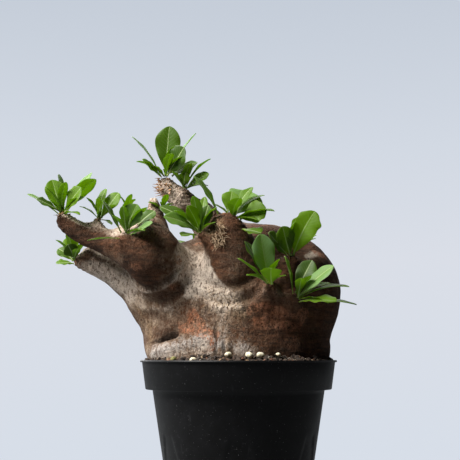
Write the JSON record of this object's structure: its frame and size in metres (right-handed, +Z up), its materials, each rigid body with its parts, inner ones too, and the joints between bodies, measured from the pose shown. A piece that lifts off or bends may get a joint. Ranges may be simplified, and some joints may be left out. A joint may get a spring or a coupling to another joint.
{
  "type": "potted pachypodium",
  "caption": "Swollen, branching caudex plant with tufts of small leathery leaves, rooted in a black slit-sided plastic nursery pot.",
  "frame": {"origin": "centre of the pot's flat underside", "axes": "+Z up out of the pot, -Y towards the front, where most leaf tufts face, +X to the right seen from the front"},
  "size_m": [0.1954, 0.1288, 0.2526],
  "materials": {
    "pot_plastic": "satin black, dusty",
    "bark": "matt, flaking",
    "leaf_green": "satin above, duller below",
    "soil_mix": "matt, granular",
    "pellet_cream": "matt"
  },
  "bodies": {
    "root": {"leaf_back_left_1": "leaf_green", "leaf_back_left_2": "leaf_green", "leaf_back_right_1": "leaf_green", "leaf_back_right_2": "leaf_green", "leaf_far_left_1": "leaf_green", "leaf_far_left_2": "leaf_green", "leaf_far_left_3": "leaf_green", "leaf_far_left_4": "leaf_green", "leaf_far_left_5": "leaf_green", "leaf_far_left_6": "leaf_green", "leaf_far_left_7": "leaf_green", "leaf_left_front_1": "leaf_green", "leaf_left_front_2": "leaf_green", "leaf_left_front_3": "leaf_green", "leaf_left_front_4": "leaf_green", "leaf_left_front_5": "leaf_green", "leaf_left_top_1": "leaf_green", "leaf_left_top_2": "leaf_green", "leaf_left_top_3": "leaf_green", "leaf_low_left_1": "leaf_green", "leaf_low_left_2": "leaf_green", "leaf_low_left_3": "leaf_green", "leaf_low_left_4": "leaf_green", "leaf_middle_1": "leaf_green", "leaf_middle_2": "leaf_green", "leaf_middle_3": "leaf_green", "leaf_middle_4": "leaf_green", "leaf_middle_5": "leaf_green", "leaf_middle_left_1": "leaf_green", "leaf_middle_left_2": "leaf_green", "leaf_middle_left_3": "leaf_green", "leaf_middle_left_4": "leaf_green", "leaf_middle_left_5": "leaf_green", "leaf_right_edge_1": "leaf_green", "leaf_right_edge_2": "leaf_green", "leaf_right_edge_3": "leaf_green", "leaf_right_edge_4": "leaf_green", "leaf_right_edge_5": "leaf_green", "leaf_right_high_1": "leaf_green", "leaf_right_high_2": "leaf_green", "leaf_right_high_3": "leaf_green", "leaf_right_low_1": "leaf_green", "leaf_right_low_2": "leaf_green", "leaf_right_low_3": "leaf_green", "leaf_right_low_4": "leaf_green", "leaf_top_1": "leaf_green", "leaf_top_2": "leaf_green", "leaf_top_3": "leaf_green", "leaf_top_4": "leaf_green", "leaf_top_5": "leaf_green", "leaf_top_6": "leaf_green", "leaf_top_side_1": "leaf_green", "leaf_top_side_2": "leaf_green", "pellet_1": "pellet_cream", "pellet_2": "pellet_cream", "pellet_3": "pellet_cream", "pellet_4": "pellet_cream", "pot": "pot_plastic", "soil": "soil_mix", "trunk": "bark"}
  },
  "joints": []
}
